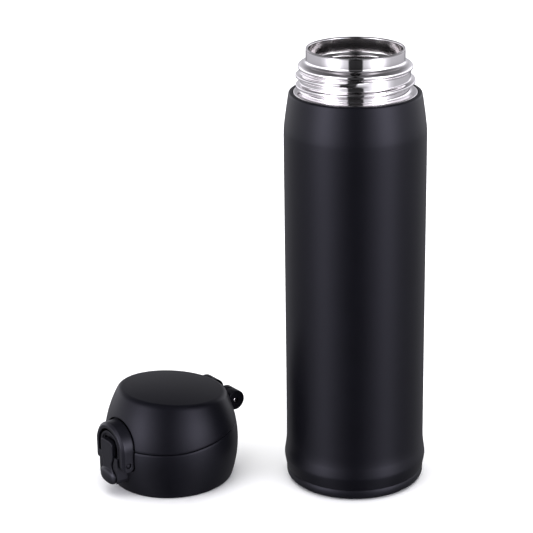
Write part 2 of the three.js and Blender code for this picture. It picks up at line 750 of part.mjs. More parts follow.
// The drinking spout: mouthpiece, neck through the deck, flange, and the plug with the gasket groove.
function spout() {
  const flangeTop = DECK_Z - GAP;
  const stem = SPOUT_HOLE_R - GAP;
  const gasketTop = GASKET_Z + GASKET_HEIGHT;
  return turned([
    [PLUG_BORE_R, SPOUT_FOOT_Z],
    [PLUG_R, SPOUT_FOOT_Z],
    [PLUG_R, GASKET_Z],
    [GASKET_SEAT_R, GASKET_Z],
    [GASKET_SEAT_R, gasketTop],
    [PLUG_R, gasketTop],
    [PLUG_R, flangeTop],
    [stem, flangeTop],
    [stem, DECK_Z + DECK_THICK + 0.8],
    [SPOUT_BORE_R + SPOUT_LIP + 2.2, DECK_Z + DECK_THICK + 3],
    [SPOUT_BORE_R + SPOUT_LIP + 0.8, SPOUT_TOP_Z - 6],
    [SPOUT_BORE_R + SPOUT_LIP, SPOUT_TOP_Z - 0.6],
    [SPOUT_BORE_R + SPOUT_LIP - 0.6, SPOUT_TOP_Z],
    [SPOUT_BORE_R + 0.5, SPOUT_TOP_Z],
    [SPOUT_BORE_R, SPOUT_TOP_Z - 0.5],
    [SPOUT_BORE_R, DECK_Z + 3],
    [PLUG_BORE_R, DECK_Z - 3.5],
  ]);
}

function neckGasket() {
  const foot = GASKET_Z + GAP;
  const top = GASKET_Z + GASKET_HEIGHT - GAP;
  const inner = GASKET_SEAT_R + GAP;
  return turned([
    [inner, foot],
    [PLUG_R, foot],
    [GASKET_R, foot + 0.8],
    [GASKET_R - 0.5, top - 1],
    [PLUG_R, top],
    [inner, top],
  ]);
}

function hingePin() {
  const half = HINGE_HALF_WIDTH - 0.4;
  return hingeBar(HINGE_PIN_R, -half, half, SMALL_ROUND);
}

function hingeSpring() {
  const half = HINGE_HALF_WIDTH - EAR_WIDTH - GAP - KNUCKLE_WIDTH - GAP;
  const wide = 2 * half;
  const turns = (wide - HINGE_SPRING_WIRE) / HINGE_SPRING_PITCH;
  const geometry = spring(HINGE_SPRING_R, HINGE_SPRING_WIRE, wide, turns);
  geometry.rotateY(Math.PI / 2);
  geometry.translate(-half, HINGE_Y, HINGE_Z);
  return solidOf(geometry);
}

// The latch panel on the collar: plate, raised rim, cheeks for the lever, studs for the lock ring.
function latchHousing() {
  const upperFoot = PANEL_POCKET_TOP + GAP;
  const whole = outwards(panelShape(0), RING_BACK, CHEEK_FRONT);
  const behind = block(
    [-THROUGH, THROUGH],
    [-PANEL_POCKET - GAP, 0],
    [0, upperFoot],
  );
  const aboveRim = block(
    [-THROUGH, THROUGH],
    [-THROUGH, -RIM_FRONT],
    [CHEEK_TOP_Z, THROUGH],
  );
  const dish = outwards(panelShape(-RIM_WIDTH), PLATE_FRONT, THROUGH).intersect(
    block([-THROUGH, THROUGH], [-THROUGH, 0], [CHEEK_TOP_Z, THROUGH]),
  );
  const leverSpace = outwards(leverShape(LEVER_GAP), PLATE_FRONT, THROUGH);
  const hubHalf = LEVER_WAIST_HALF + GAP;
  const hubReach = LEVER_HUB_R + GAP;
  const hubWindow = block(
    [-hubHalf, hubHalf],
    [-THROUGH, 0],
    [LEVER_PIVOT_Z - hubReach, LEVER_PIVOT_Z + hubReach],
  );
  const noseWindow = block(
    [-NOSE_HALF - GAP, NOSE_HALF + GAP],
    [-THROUGH, 0],
    [NOSE_Z - 2 * GAP, NOSE_Z + NOSE_HEIGHT + 0.8],
  );
  const studY = -(RING_BACK + RING_DEPTH / 2);
  const studEnd = RING_R - 0.4;
  return whole
    .subtract(behind)
    .subtract(aboveRim)
    .subtract(dish)
    .subtract(leverSpace)
    .subtract(hubWindow)
    .subtract(noseWindow)
    .add(bar(STUD_R, -studEnd, -PLATE_R + 0.2, studY, RING_PIVOT_Z))
    .add(bar(STUD_R, PLATE_R - 0.2, studEnd, studY, RING_PIVOT_Z))
    .subtract(bar(LEVER_PIN_R + GAP, -PLATE_R + 0.7, PLATE_R - 0.7, -LEVER_PIVOT_OUT, LEVER_PIVOT_Z));
}

function leverPin() {
  const half = PLATE_R - 1;
  return bar(LEVER_PIN_R, -half, half, -LEVER_PIVOT_OUT, LEVER_PIVOT_Z);
}

function leverSpring() {
  const geometry = spring(
    LEVER_SPRING_R,
    LEVER_SPRING_WIRE,
    LEVER_SPRING_LENGTH,
    LEVER_SPRING_TURNS,
  );
  geometry.rotateX(Math.PI / 2);
  geometry.translate(0, -PLATE_FRONT - GAP, TAB_Z);
  return solidOf(geometry);
}

// ---------------------------------------------------------------- lid: lever and lock ring

function releaseLever() {
  const body = outwards(leverShape(0), LEVER_BACK, LEVER_FRONT);
  const tabFrom = TAB_Z - TAB_FOOT_Z;
  const tabSide = new THREE.Shape();
  tabSide.moveTo(-LEVER_BACK, TAB_FOOT_Z);
  tabSide.lineTo(-LEVER_FRONT, TAB_FOOT_Z);
  tabSide.quadraticCurveTo(-TAB_FRONT, TAB_FOOT_Z, -TAB_FRONT, TAB_Z - 0.5);
  tabSide.quadraticCurveTo(-TAB_FRONT, TAB_Z + tabFrom, -LEVER_FRONT, TAB_Z + tabFrom + 1.5);
  tabSide.lineTo(-LEVER_BACK, TAB_Z + tabFrom + 1.5);
  const tab = across(tabSide, -TAB_HALF, TAB_HALF).intersect(
    outwards(leverShape(0), LEVER_BACK, TAB_FRONT),
  );
  const hubHalf = LEVER_WAIST_HALF;
  const hub = bar(LEVER_HUB_R, -hubHalf, hubHalf, -LEVER_PIVOT_OUT, LEVER_PIVOT_Z);
  const nose = block(
    [-NOSE_HALF, NOSE_HALF],
    [-LEVER_BACK - 0.2, -RING_BACK - 0.2],
    [NOSE_Z, NOSE_Z + NOSE_HEIGHT],
  );
  const springBore = outwards(
    discShape(LEVER_SPRING_BORE, TAB_Z),
    LEVER_BACK - 1,
    LEVER_BACK + LEVER_SPRING_BORE_DEPTH,
    5,
  );
  const pinBore = bar(
    LEVER_PIN_R + GAP,
    -THROUGH,
    THROUGH,
    -LEVER_PIVOT_OUT,
    LEVER_PIVOT_Z,
  );
  return body.add(tab).add(hub).add(nose).subtract(springBore).subtract(pinBore);
}

// The lock ring: a round head on two arms that turn on the housing's studs.
function lockRing() {
  const inner = RING_R - RING_BAND;
  const foot = RING_PIVOT_Z - RING_DEPTH / 2;
  const front = new THREE.Shape();
  front.moveTo(-RING_R, foot);
  front.lineTo(-inner, foot);
  front.lineTo(-inner, RING_Z);
  front.absarc(0, RING_Z, inner, Math.PI, 0, true);
  front.lineTo(inner, foot);
  front.lineTo(RING_R, foot);
  front.lineTo(RING_R, RING_Z);
  front.absarc(0, RING_Z, RING_R, 0, Math.PI, false);
  const back = -RING_BACK;
  const face = -(RING_BACK + RING_DEPTH);
  const middle = (back + face) / 2;
  const side = new THREE.Shape();
  side.moveTo(back, RING_Z + RING_R);
  side.lineTo(face, RING_Z + RING_R);
  side.lineTo(face, RING_PIVOT_Z);
  side.absarc(middle, RING_PIVOT_Z, RING_DEPTH / 2, Math.PI, 2 * Math.PI, false);
  const round = outwards(front, RING_BACK, RING_BACK + RING_DEPTH, 12);
  return round
    .intersect(across(side, -RING_R, RING_R))
    .subtract(bar(STUD_R + GAP, -THROUGH, THROUGH, middle, RING_PIVOT_Z));
}

// ---------------------------------------------------------------- lid: cover and what it holds

function coverShell() {
  const foot = SEAM_Z - 2;
  const top = LID_HEIGHT + 8;
  const outer = lidForm(foot, top, 0).intersect(seamBlock(true)).intersect(belowTop(0));
  const backing = block(
    [-POCKET_R - POCKET_BACKING, POCKET_R + POCKET_BACKING],
    [-THROUGH, -COVER_POCKET + POCKET_BACKING],
    [0, RING_Z + POCKET_R + POCKET_BACKING],
  );
  const hollow = lidForm(foot - 1, top, COVER_WALL)
    .intersect(belowTop(COVER_WALL))
    .subtract(backing);
  const pocket = outwards(discShape(POCKET_R, RING_Z), COVER_POCKET, THROUGH, 14);
  const strikeHole = block(
    [-STRIKE_HALF_WIDTH - GAP, STRIKE_HALF_WIDTH + GAP],
    [-THROUGH, -COVER_POCKET + STRIKE_THICK + GAP],
    [0, SEAM_Z + 1 + STRIKE_HEIGHT],
  );
  const notchR = KNUCKLE_R + HINGE_NOTCH;
  const earInner = HINGE_HALF_WIDTH - EAR_WIDTH;
  const earOuter = HINGE_HALF_WIDTH + HINGE_NOTCH;
  const knuckleInner = earInner - GAP - KNUCKLE_WIDTH;
  const knuckleOuter = earInner - GAP;
  let shell = outer.subtract(hollow).subtract(pocket).subtract(strikeHole);
  for (const [from, to] of [
    [-earOuter, -knuckleOuter],
    [-knuckleInner, knuckleInner],
    [knuckleOuter, earOuter],
  ]) {
    shell = shell.subtract(hingeBar(notchR, from, to));
  }
  for (const [from, to] of [
    [-earOuter, -knuckleOuter],
    [knuckleOuter, earOuter],
  ]) {
    shell = shell.subtract(block([from, to], [EAR_INNER_Y - GAP, THROUGH], [0, HINGE_Z]));
  }
  for (const [from, to] of [
    [-knuckleOuter, -knuckleInner],
    [knuckleInner, knuckleOuter],
  ]) {
    shell = shell.add(hingeBar(KNUCKLE_R, from, to));
  }
  return shell.subtract(hingeBar(HINGE_PIN_R + GAP, -THROUGH, THROUGH, SMALL_ROUND));
}

// The plate inside the cover, with the round collar that holds the seal.
function coverLiner() {
  const foot = SPOUT_TOP_Z + GAP + SEAL_THICK + GAP;
  const holderFoot = SPOUT_TOP_Z + GAP;
  return turned([
    [0, foot],
    [SEAL_R + GAP, foot],
    [SEAL_R + GAP, holderFoot],
    [SEAL_R + GAP + LINER_RIB, holderFoot],
    [SEAL_R + GAP + LINER_RIB, foot],
    [LINER_R, foot],
    [LINER_R, foot + LINER_THICK],
    [0, foot + LINER_THICK],
  ]);
}

function coverSeal() {
  const face = SPOUT_TOP_Z + GAP;
  const plugR = SPOUT_BORE_R - 0.4;
  return turned([
    [0, SPOUT_TOP_Z - SEAL_PLUG_DEPTH],
    [plugR - 0.6, SPOUT_TOP_Z - SEAL_PLUG_DEPTH],
    [plugR, face],
    [SEAL_R, face],
    [SEAL_R, face + SEAL_THICK],
    [0, face + SEAL_THICK],
  ]);
}

// The strike plate that the lever's nose holds, let into the cover behind the latch.
function coverStrike() {
  const front = -COVER_POCKET + 0.2;
  return block(
    [-STRIKE_HALF_WIDTH, STRIKE_HALF_WIDTH],
    [front, front + STRIKE_THICK - 0.2],
    [SEAM_Z + SEAM_HALF_GAP, SEAM_Z + 1 + STRIKE_HEIGHT - GAP],
  );
}

// ---------------------------------------------------------------- assembly

const flask = new THREE.Group();
flask.add(
  piece("outer_shell", outerShell(), PAINT),
  piece("neck_ring", neckRing(), STEEL),
  piece("inner_vessel", innerVessel(), SATIN_STEEL),
  piece("base_plate", basePlate(), SATIN_STEEL),
  piece("seal_bead", sealBead(), BRAZE),
  piece("getter", getter(), GETTER_METAL),
  piece("base_cap", baseCap(), PLASTIC),
  piece("foot_pad", footPad(), DARK_RUBBER),
);

const lidBase = new THREE.Group();
lidBase.add(
  piece("collar_shell", collarShell(), PLASTIC),
  piece("thread_insert", threadInsert(), PLASTIC),
  piece("spout", spout(), GLOSS_PLASTIC),
  piece("neck_gasket", neckGasket(), SILICONE),
  piece("hinge_pin", hingePin(), STEEL),
  piece("hinge_spring", hingeSpring(), SATIN_STEEL),
  piece("latch_housing", latchHousing(), GLOSS_PLASTIC),
  piece("lever_pin", leverPin(), STEEL),
  piece("lever_spring", leverSpring(), SATIN_STEEL),
);

const cover = new THREE.Group();
cover.add(
  piece("cover_shell", coverShell(), PLASTIC),
  piece("cover_liner", coverLiner(), PLASTIC),
  piece("cover_seal", coverSeal(), SILICONE),
  piece("cover_strike", coverStrike(), SATIN_STEEL),
);

const latch = new THREE.Group();
latch.add(
  piece("release_lever", releaseLever(), GLOSS_PLASTIC),
  piece("lock_ring", lockRing(), GLOSS_PLASTIC),
);

const lid = new THREE.Group();
lid.position.set(LID_X, LID_Y, 0);
lid.rotation.z = LID_TURN_DEG * RAD;
lid.add(lidBase, cover, latch);

const group = new THREE.Group();
group.add(flask, lid);

export default group;
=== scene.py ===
import json
import math

import bmesh
import bpy
from mathutils import Matrix, Vector


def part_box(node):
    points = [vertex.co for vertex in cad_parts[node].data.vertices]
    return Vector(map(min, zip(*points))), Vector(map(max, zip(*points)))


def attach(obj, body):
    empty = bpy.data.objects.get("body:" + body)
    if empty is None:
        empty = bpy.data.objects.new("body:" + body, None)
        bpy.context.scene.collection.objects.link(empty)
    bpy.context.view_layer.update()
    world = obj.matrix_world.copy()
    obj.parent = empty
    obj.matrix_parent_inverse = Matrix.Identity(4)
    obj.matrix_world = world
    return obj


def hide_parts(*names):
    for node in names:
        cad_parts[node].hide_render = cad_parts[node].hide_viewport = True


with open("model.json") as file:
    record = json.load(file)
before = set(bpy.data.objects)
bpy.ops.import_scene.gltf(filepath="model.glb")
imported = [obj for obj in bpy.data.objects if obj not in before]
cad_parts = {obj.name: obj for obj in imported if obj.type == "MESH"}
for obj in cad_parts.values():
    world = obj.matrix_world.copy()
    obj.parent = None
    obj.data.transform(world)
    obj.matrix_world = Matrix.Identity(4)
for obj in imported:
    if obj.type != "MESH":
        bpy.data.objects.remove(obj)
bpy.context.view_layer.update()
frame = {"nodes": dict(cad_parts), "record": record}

MM = 0.001
scene = bpy.context.scene
RAD = math.pi / 180


# ---------------------------------------------------------------- places, from the CAD frame


def low(node):
    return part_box(node)[0] / MM


def high(node):
    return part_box(node)[1] / MM


joints = {j["name"]: j for j in frame["record"]["behaviour"]["joints"]}
across_lid = Vector(joints["lock_swing"]["axis"])
LID_TURN = math.atan2(across_lid.y, across_lid.x)
LID_AXIS = (low("thread_insert") + high("thread_insert")) / 2
LID_PLACE = Matrix.Translation((LID_AXIS.x * MM, LID_AXIS.y * MM, 0)) @ Matrix.Rotation(
    LID_TURN, 4, "Z"
)


def in_lid(point):
    """A point in metres, as millimetres in the lid's own frame: latch at -Y, hinge at +Y."""
    return LID_PLACE.inverted() @ Vector(point) / MM


PAINT_Z = high("outer_shell").z
LIP_Z = high("inner_vessel").z
SHELL_FOOT_Z = low("outer_shell").z
FLARE_R = high("outer_shell").x
CAP_R = high("base_cap").x
HINGE = in_lid(joints["cover_hinge"]["pos_m"])
RING_PIVOT = in_lid(joints["lock_swing"]["pos_m"])
LEVER_PIVOT = in_lid(joints["lever_press"]["pos_m"])

GAP = 0.3  # between neighbouring pieces

# The flask's form
SHEET = 0.8  # both steel walls
BODY_R = FLARE_R - 1.1
NECK_R = BODY_R - 7.9
MOUTH_R = NECK_R - 2.6
BEAD_DROP = 8.5  # from the lip to the bead's crest
STEP_DROP = 8  # from the lip to the gasket's step
THREAD_R = NECK_R + 2.1
THREAD_PITCH = 4.8
THREAD_TURNS = 1.496
THREAD_START = -75 * RAD
THREAD_DROP = 11.4  # from the lip to the thread's upper end
THREAD_HALF = 1.75  # half the ridge's width at its root

# The lid's form
BELLY_R, BELLY_Z = 32.75, 19.0
FOOT_R, CROWN_R = 29.4, 25.9
LID_TOP = HINGE.z + 10.4
TOP_SLOPE = math.tan(5.9 * RAD)
SEAM_Z, SEAM_BEND_Y = 24.3, -14.0
SEAM_SLOPE = math.tan(6.4 * RAD)
SEAM_HALF = 0.15  # half the gap between collar and cover
DECK_Z = 20.9
SEATED_LIP = 0.8  # from the lip of a closed flask to the deck
THREAD_ROOM = 1.4  # depth of the lid's threaded ring outside the crest
HINGE_BORE_R = 1.4
LEVER_BORE_R = 1.1
RING_Z = RING_PIVOT.z + 6.9
RING_R = 12.2


# ---------------------------------------------------------------- mesh tools, in millimetres


def made(name, verts, faces):
    mesh = bpy.data.meshes.new(name)
    mesh.from_pydata([tuple(c * MM for c in v) for v in verts], [], faces)
    bm = bmesh.new()
    bm.from_mesh(mesh)
    bmesh.ops.remove_doubles(bm, verts=bm.verts, dist=1e-7)
    bmesh.ops.recalc_face_normals(bm, faces=bm.faces)
    bm.to_mesh(mesh)
    bm.free()
    obj = bpy.data.objects.new(name, mesh)
    scene.collection.objects.link(obj)
    return obj


def bake(obj):
    """Applies the modifiers."""
    bpy.context.view_layer.update()
    depsgraph = bpy.context.evaluated_depsgraph_get()
    mesh = bpy.data.meshes.new_from_object(obj.evaluated_get(depsgraph))
    obj.modifiers.clear()
    obj.data = mesh
    return obj


def combine(obj, operation, *tools):
    for tool in tools:
        modifier = obj.modifiers.new("combine", "BOOLEAN")
        modifier.operation = operation
        modifier.object = tool
        modifier.solver = "MANIFOLD"
        bake(obj)
        bpy.data.objects.remove(tool)
    return obj


def cut(obj, *tools):
    return combine(obj, "DIFFERENCE", *tools)


def join(obj, *tools):
    return combine(obj, "UNION", *tools)


def keep(obj, *tools):
    return combine(obj, "INTERSECT", *tools)


def moulded(obj, voxel=0.2, rounds=5):
    """Rounds every edge of a small moulding: one even skin, then smoothed."""
    remesh = obj.modifiers.new("skin", "REMESH")
    remesh.mode = "VOXEL"
    remesh.voxel_size = voxel * MM
    relax = obj.modifiers.new("relax", "SMOOTH")
    relax.factor = 0.5
    relax.iterations = rounds
    return bake(obj)


def rings(outlines):
    """A closed skin over outlines round the Z axis, one list of (r, z) for each angle."""
    turns = len(outlines)
    verts, index = [], []
    for k, outline in enumerate(outlines):
        angle = 2 * math.pi * k / turns
        row = []
        for r, z in outline:
            row.append(len(verts))
            verts.append((r * math.cos(angle), r * math.sin(angle), z))
        index.append(row)
    faces = []
    count = len(outlines[0])
    closed = outlines[0][0][0] > 1e-6
    for k in range(turns):
        a, b = index[k], index[(k + 1) % turns]
        for i in range(count if closed else count - 1):
            j = (i + 1) % count
            on_axis_i = outlines[0][i][0] < 1e-6
            on_axis_j = outlines[0][j][0] < 1e-6
            if on_axis_i:
                faces.append((a[i], a[j], b[j]))
            elif on_axis_j:
                faces.append((a[i], a[j], b[i]))
            else:
                faces.append((a[i], a[j], b[j], b[i]))
    return verts, faces


def turned(name, outline, turns=160):
    return made(name, *rings([outline] * turns))


def soft(points, times=3):
    """Cuts the corners of an open line again and again, keeping its ends."""
    for _ in range(times):
        out = [points[0]]
        for (r0, z0), (r1, z1) in zip(points[:-1], points[1:]):
            out.append((r0 * 0.75 + r1 * 0.25, z0 * 0.75 + z1 * 0.25))
            out.append((r0 * 0.25 + r1 * 0.75, z0 * 0.25 + z1 * 0.75))
        out.append(points[-1])
        points = out
    return points


def filleted(points, radius, steps=5):
    """A closed outline, off the axis or starting and ending on it, with its corners rounded."""
    out = []
    count = len(points)
    on_axis = points[0][0] < 1e-6
    for i, p in enumerate(points):
        if on_axis and i in (0, count - 1):
            out.append(p)
            continue
        here = Vector(p)
        back = Vector(points[i - 1]) - here
        ahead = Vector(points[(i + 1) % count]) - here
        reach = min(radius, back.length * 0.45, ahead.length * 0.45)
        start, end = here + back.normalized() * reach, here + ahead.normalized() * reach
        for s in range(steps + 1):
            t = s / steps
            q = start * (1 - t) ** 2 + here * 2 * t * (1 - t) + end * t**2
            out.append((q.x, q.y))
    return out


def prism(name, outline, place, near, far):
    """An outline of pairs made solid between two depths. place turns (a, b, depth) into a point."""
    count = len(outline)
    verts = [place(a, b, near) for a, b in outline] + [
        place(a, b, far) for a, b in outline
    ]
    faces = [tuple(range(count)), tuple(range(2 * count - 1, count - 1, -1))]
    for i in range(count):
        j = (i + 1) % count
        faces.append((i, j, count + j, count + i))
    return made(name, verts, faces)


def outwards(outline, near, far):
    """An (x, z) outline between two distances out on the latch side."""
    return prism("outwards", outline, lambda x, z, out: (x, -out, z), near, far)


def across(outline, x0, x1):
    """A (y, z) outline between two values of x."""
    return prism("across", outline, lambda y, z, x: (x, y, z), x0, x1)


def arc(radius, y, z, start=0.0, end=360.0, steps=64):
    closed = abs(end - start) >= 360
    count = steps if closed else steps + 1
    points = []
    for i in range(count):
        angle = (start + (end - start) * i / steps) * RAD
        points.append((y + radius * math.cos(angle), z + radius * math.sin(angle)))
    return points


def bar(radius, x0, x1, y, z, steps=48):
    return across(arc(radius, y, z, steps=steps), x0, x1)


def block(x, y, z):
    return across([(y[0], z[0]), (y[1], z[0]), (y[1], z[1]), (y[0], z[1])], *x)


def bezier(p0, p1, p2, p3, steps=10):
    out = []
    for i in range(steps):
        t = i / steps
        u = 1 - t
        out.append(
            tuple(
                u**3 * a + 3 * u * u * t * b + 3 * u * t * t * c + t**3 * d
                for a, b, c, d in zip(p0, p1, p2, p3)
            )
        )
    return out


def coil(name, radius, wire, length, turns, place, sides=10, steps=28):
    """A wire wound along a line. place turns (a, b, along) into a point."""
    verts, faces = [], []
    total = int(steps * turns)
    for i in range(total + 1):
        angle = 2 * math.pi * turns * i / total
        along = wire / 2 + (length - wire) * i / total
        for k in range(sides):
            turn = 2 * math.pi * k / sides
            r = radius + wire / 2 * math.cos(turn)
            verts.append(
                place(
                    r * math.cos(angle),
                    r * math.sin(angle),
                    along + wire / 2 * math.sin(turn),
                )
            )
    for i in range(total):
        for k in range(sides):
            a, b = i * sides + k, i * sides + (k + 1) % sides
            faces.append((a, b, b + sides, a + sides))
    faces.append(tuple(range(sides)))
    faces.append(tuple(range((total + 1) * sides - 1, total * sides - 1, -1)))
    return made(name, verts, faces)


# ---------------------------------------------------------------- materials


def finish(name, color, roughness, metallic=0.0, grain=2200.0, bump=0.05, spread=0.06,
           stretch=(1, 1, 1), specular=0.5, tint=0.12, transmission=0.0, gleam=(1, 1, 1)):
    """A procedural finish: fine bump, uneven roughness and a slow drift of colour."""
    material = bpy.data.materials.new(name)
    material.use_nodes = True
    nodes, links = material.node_tree.nodes, material.node_tree.links
    shader = nodes["Principled BSDF"]
    shader.inputs["Metallic"].default_value = metallic
    shader.inputs["Specular IOR Level"].default_value = specular
    shader.inputs["Specular Tint"].default_value = (*gleam, 1)
    shader.inputs["Transmission Weight"].default_value = transmission
    where = nodes.new("ShaderNodeTexCoord")
    scaled = nodes.new("ShaderNodeMapping")
    scaled.inputs["Scale"].default_value = stretch
    links.new(where.outputs["Object"], scaled.inputs["Vector"])
    fine = nodes.new("ShaderNodeTexNoise")
    fine.inputs["Scale"].default_value = grain
    fine.inputs["Detail"].default_value = 3.0
    links.new(scaled.outputs["Vector"], fine.inputs["Vector"])
    broad = nodes.new("ShaderNodeTexNoise")
    broad.inputs["Scale"].default_value = grain / 40
    broad.inputs["Detail"].default_value = 2.0
    links.new(where.outputs["Object"], broad.inputs["Vector"])
    rough = nodes.new("ShaderNodeMapRange")
    rough.inputs["To Min"].default_value = roughness - spread
    rough.inputs["To Max"].default_value = roughness + spread
    links.new(fine.outputs["Fac"], rough.inputs["Value"])
    links.new(rough.outputs["Result"], shader.inputs["Roughness"])
    ramp = nodes.new("ShaderNodeValToRGB")
    ramp.color_ramp.elements[0].position = 0.3
    ramp.color_ramp.elements[1].position = 0.7
    ramp.color_ramp.elements[0].color = [c * (1 - tint) for c in color] + [1]
    ramp.color_ramp.elements[1].color = [min(1, c * (1 + tint)) for c in color] + [1]
    links.new(broad.outputs["Fac"], ramp.inputs["Fac"])
    links.new(ramp.outputs["Color"], shader.inputs["Base Color"])
    relief = nodes.new("ShaderNodeBump")
    relief.inputs["Strength"].default_value = bump
    relief.inputs["Distance"].default_value = 0.0002
    links.new(fine.outputs["Fac"], relief.inputs["Height"])
    links.new(relief.outputs["Normal"], shader.inputs["Normal"])
    return material


COOL = (0.86, 0.84, 1.0)  # the dark finishes reflect slightly blue
PAINT = finish("powder_coat", (0.002, 0.002, 0.0032), 0.36, bump=0.1, grain=2600,
               specular=0.175, gleam=COOL)
MIRROR = finish("polished_neck", (0.80, 0.775, 0.785), 0.055, 1.0, grain=500, bump=0.012,
                spread=0.02, stretch=(0.4, 0.4, 9), tint=0.02)
# the inner steel's colour is kept darker than the neck's steel: painted shade for the inside of the
# mouth
VESSEL = finish("vessel_steel", (0.62, 0.60, 0.60), 0.13, 1.0, grain=500, bump=0.03,
                spread=0.04, stretch=(0.4, 0.4, 9), tint=0.03)
WIRE = finish("drawn_wire", (0.62, 0.61, 0.6), 0.25, 1.0, grain=900, bump=0.05, tint=0.04)
BRAZE = finish("solder", (0.5, 0.47, 0.4), 0.45, 1.0, grain=900, bump=0.2, tint=0.1)
GETTER = finish("getter_metal", (0.3, 0.29, 0.28), 0.6, 1.0, grain=3000, bump=0.4)
LID = finish("lid_moulding", (0.0028, 0.0028, 0.0042), 0.38, bump=0.08, grain=3000,
             specular=0.145, gleam=COOL)
CAP = finish("cap_moulding", (0.003, 0.003, 0.0044), 0.4, bump=0.1, grain=3000,
             specular=0.17, gleam=COOL)
LATCH = finish("latch_moulding", (0.0045, 0.0045, 0.0062), 0.33, specular=0.24, gleam=COOL,
               bump=0.04, grain=2200, spread=0.04)
SPOUT = finish("spout_moulding", (0.008, 0.008, 0.010), 0.28, specular=0.35, bump=0.04,
               grain=2200, spread=0.04)
SILICONE = finish("silicone", (0.62, 0.63, 0.63), 0.45, bump=0.1, grain=1800, tint=0.04,
                  transmission=0.15)
RUBBER = finish("pad_rubber", (0.014, 0.014, 0.015), 0.75, bump=0.4, grain=1800, specular=0.3)


def piece(obj, name, body, nodes, material, angle=35, lid=False):
    obj.name = name
    obj.data.name = name
    if lid:
        obj.data.transform(LID_PLACE)
    obj.data.shade_smooth()
    obj.data.set_sharp_from_angle(angle=angle * RAD)
    obj.data.materials.clear()
    obj.data.materials.append(material)
    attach(obj, body)
    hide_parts(*nodes)
    return obj


def carried(node, material, bevel=0.0):
    """A CAD node that stays, with its finish and, where it is angular, softened edges."""
    obj = frame["nodes"][node]
    obj.data.materials.clear()
    obj.data.materials.append(material)
    if bevel:
        modifier = obj.modifiers.new("edges", "BEVEL")
        modifier.width = bevel * MM
        modifier.segments = 2
        modifier.limit_method = "ANGLE"
        modifier.angle_limit = 40 * RAD


# ---------------------------------------------------------------- flask


def body_shell():
    outside = [
        (BODY_R + 0.1, SHELL_FOOT_Z),
        (BODY_R + 0.75, SHELL_FOOT_Z + 3.2),
        (FLARE_R, SHELL_FOOT_Z + 5.4),
        (FLARE_R, SHELL_FOOT_Z + 6.4),
        (BODY_R + 0.75, SHELL_FOOT_Z + 9.0),
        (BODY_R + 0.2, SHELL_FOOT_Z + 12.5),
        (BODY_R, SHELL_FOOT_Z + 18),
        (BODY_R, PAINT_Z - 60),
        (BODY_R, PAINT_Z - 21),
        (BODY_R - 0.15, PAINT_Z - 16),
        (BODY_R - 2.2, PAINT_Z - 1.9),
        (BODY_R - 2.55, PAINT_Z - 0.25),
        (BODY_R - 4.0, PAINT_Z),
        (BODY_R - 4.3, PAINT_Z),
        (BODY_R - 4.3, PAINT_Z - 0.5),
    ]
    inside = [(r - SHEET, z) for r, z in outside[:-4]] + [(BODY_R - 4.3, PAINT_Z - SHEET)]
    shell = turned("shell", soft(outside, 4) + inside[::-1], 224)
    piece(shell, "body_shell", "flask", ["outer_shell"], PAINT)


def ridge_height(angle, z, crest_half, top, start, turns, fade):
    """Height of a right-hand thread ridge at a place on a wall, from 0 to 1."""
    best = 0.0
    for k in range(-2, 3):
        s = (start - angle) / (2 * math.pi) + k
        if not 0 <= s <= turns:
            continue
        away = abs(z - (top - THREAD_PITCH * s))
        if away >= THREAD_HALF:
            continue
        t = max(0.0, (away - crest_half) / (THREAD_HALF - crest_half))
        end = min(1.0, s / fade, (turns - s) / fade)
        end = end * end * (3 - 2 * end)
        best = max(best, end * 0.5 * (1 + math.cos(math.pi * t)))
    return best


def neck():
    bead = LIP_Z - BEAD_DROP
    wall_foot, wall_head = PAINT_Z + 1.0, bead - 2.2
    rows = 84
    inner = NECK_R - SHEET
    ledge = soft([
        (NECK_R + 3.3, PAINT_Z - SHEET),
        (NECK_R + 3.3, PAINT_Z - 0.1),
        (NECK_R + 2.6, PAINT_Z + 0.2),
        (NECK_R + 0.7, PAINT_Z + 0.25),
        (NECK_R, PAINT_Z + 0.5),
        (NECK_R, wall_foot),
    ], 3)
    top = soft([
        (NECK_R, wall_head),
        (NECK_R + 0.05, bead - 1.5),
        (NECK_R + 1.0, bead - 0.7),
        (NECK_R + 1.0, bead + 0.6),
        (NECK_R - 0.4, bead + 1.5),
        (MOUTH_R + 0.5, bead + 2.0),
        (MOUTH_R - 0.1, bead + 2.9),
        (MOUTH_R, bead + 4.2),
        (MOUTH_R, LIP_Z - 0.9),
    ], 3)
    inside = [
        (MOUTH_R - 0.4, LIP_Z - 0.9),
        (MOUTH_R - 0.4, bead + 2.2),
        (inner, bead - 1.0),
        (inner, PAINT_Z - SHEET),
    ]
    outlines = []
    turns = 288
    for k in range(turns):
        angle = 2 * math.pi * k / turns
        wall = []
        for i in range(1, rows):
            z = wall_foot + (wall_head - wall_foot) * i / rows
            rise = ridge_height(
                angle, z, 0.35, LIP_Z - THREAD_DROP, THREAD_START, THREAD_TURNS, 0.13
            )
            wall.append((NECK_R + (THREAD_R - NECK_R) * rise, z))
        outlines.append(ledge + wall + top + inside)
    obj = made("neck", *rings(outlines))
    piece(obj, "neck_thread", "flask", ["neck_ring"], MIRROR, angle=50)


